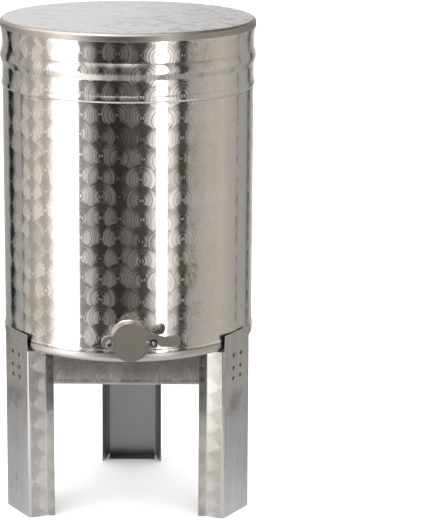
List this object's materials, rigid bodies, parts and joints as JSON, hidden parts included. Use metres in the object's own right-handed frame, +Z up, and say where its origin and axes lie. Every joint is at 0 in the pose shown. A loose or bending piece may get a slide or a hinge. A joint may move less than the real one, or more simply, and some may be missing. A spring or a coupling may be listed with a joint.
{
  "type": "storage tank on a three-legged stand",
  "caption": "Small round stainless steel storage tank with a lift-off lid and a swinging gate tap, standing in a folded sheet metal stand with legs and aprons.",
  "frame": {"origin": "on the floor, under the middle of the whole object's box", "axes": "+Z up; the tap faces the front, -Y; +X to the right as seen from the front"},
  "size_m": [0.3768, 0.4173, 0.7308],
  "materials": {
    "swirled_steel": "bright with overlapping round swirl marks",
    "smooth_steel": "bright",
    "stand_steel": "satin with faint swirl marks",
    "matte_steel": "matte",
    "plated_steel": "plated"
  },
  "bodies": {
    "tank": {"tank_wall": "swirled_steel", "tank_bottom": "smooth_steel", "leg_back": "stand_steel", "leg_front_left": "stand_steel", "leg_front_right": "stand_steel", "apron_front": "stand_steel", "apron_right": "stand_steel", "apron_left": "stand_steel", "gate_neck": "smooth_steel", "gate_plate": "smooth_steel", "pivot_bolt": "plated_steel", "pivot_washer": "plated_steel", "pivot_nut": "plated_steel", "clamp_stud": "plated_steel", "clamp_washer": "plated_steel"},
    "lid": {"lid": "swirled_steel"},
    "gate_blade": {"gate_blade": "matte_steel"},
    "wing_nut": {"wing_nut": "plated_steel"}
  },
  "joints": [
    {"name": "lid_lift", "type": "slide", "parent": "tank", "child": "lid", "axis": [0, 0, 1], "range_m": [0, 0.12]},
    {"name": "gate_swing", "type": "hinge", "parent": "tank", "child": "gate_blade", "pos_m": [-0.02133, -0.19895, 0.2935], "axis": [0.1132, -0.9936, 0], "range_deg": [0, 110]},
    {"name": "wing_nut_turn", "type": "hinge", "parent": "tank", "child": "wing_nut", "pos_m": [0.04202, -0.19848, 0.2935], "axis": [0.1132, -0.9936, 0], "continuous": true}
  ]
}
